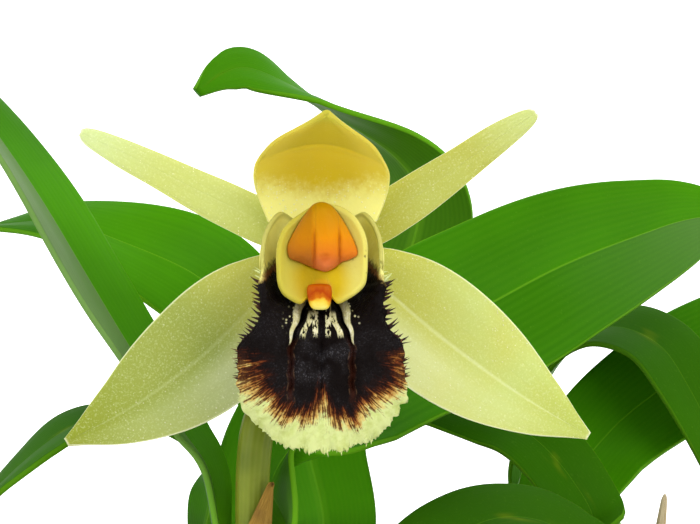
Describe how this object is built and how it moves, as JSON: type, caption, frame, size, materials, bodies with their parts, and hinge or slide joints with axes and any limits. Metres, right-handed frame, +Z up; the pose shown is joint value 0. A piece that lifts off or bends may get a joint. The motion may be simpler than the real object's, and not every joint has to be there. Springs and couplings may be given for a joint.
{
  "type": "potted orchid",
  "caption": "Coelogyne orchid in flower, with a hooded golden bloom and a fringed dark lip, broad glossy leaves on pseudobulbs, in a plain clay pot of bark.",
  "frame": {"origin": "middle of the pot's foot, where it rests", "axes": "+Z up, and the flower looks towards -Y, 10 degrees up"},
  "size_m": [0.1149, 0.1089, 0.1609],
  "materials": {
    "clay": "matte",
    "bark": "matte",
    "rhizome": "matte",
    "pseudobulb": "satin",
    "leaf": "gloss",
    "stem": "satin",
    "dry_bract": "matte",
    "dry_stem": "matte",
    "tepal": "satin",
    "hood": "satin",
    "lip": "satin",
    "column": "satin",
    "anther": "satin"
  },
  "bodies": {
    "root": {"pot": "clay", "bark": "bark", "rhizome": "rhizome", "pseudobulb_a": "pseudobulb", "pseudobulb_b": "pseudobulb", "pseudobulb_c": "pseudobulb", "pseudobulb_d": "pseudobulb", "pseudobulb_e": "pseudobulb", "pseudobulb_f": "pseudobulb", "pseudobulb_g": "pseudobulb", "pseudobulb_h": "pseudobulb", "leaf_a1": "leaf", "leaf_a2": "leaf", "leaf_b1": "leaf", "leaf_b2": "leaf", "leaf_c1": "leaf", "leaf_c2": "leaf", "leaf_d1": "leaf", "leaf_d2": "leaf", "leaf_e1": "leaf", "leaf_e2": "leaf", "leaf_f1": "leaf", "leaf_f2": "leaf", "leaf_g1": "leaf", "leaf_h1": "leaf", "leaf_h2": "leaf", "flower_stem": "stem", "ovary": "stem", "stem_sheath": "dry_bract", "floral_bract": "dry_bract", "spent_stem": "dry_stem", "petal_left": "tepal", "petal_right": "tepal", "lateral_sepal_left": "tepal", "lateral_sepal_right": "tepal", "dorsal_sepal": "hood", "lip": "lip", "column": "column", "anther_cap": "anther"}
  },
  "joints": []
}
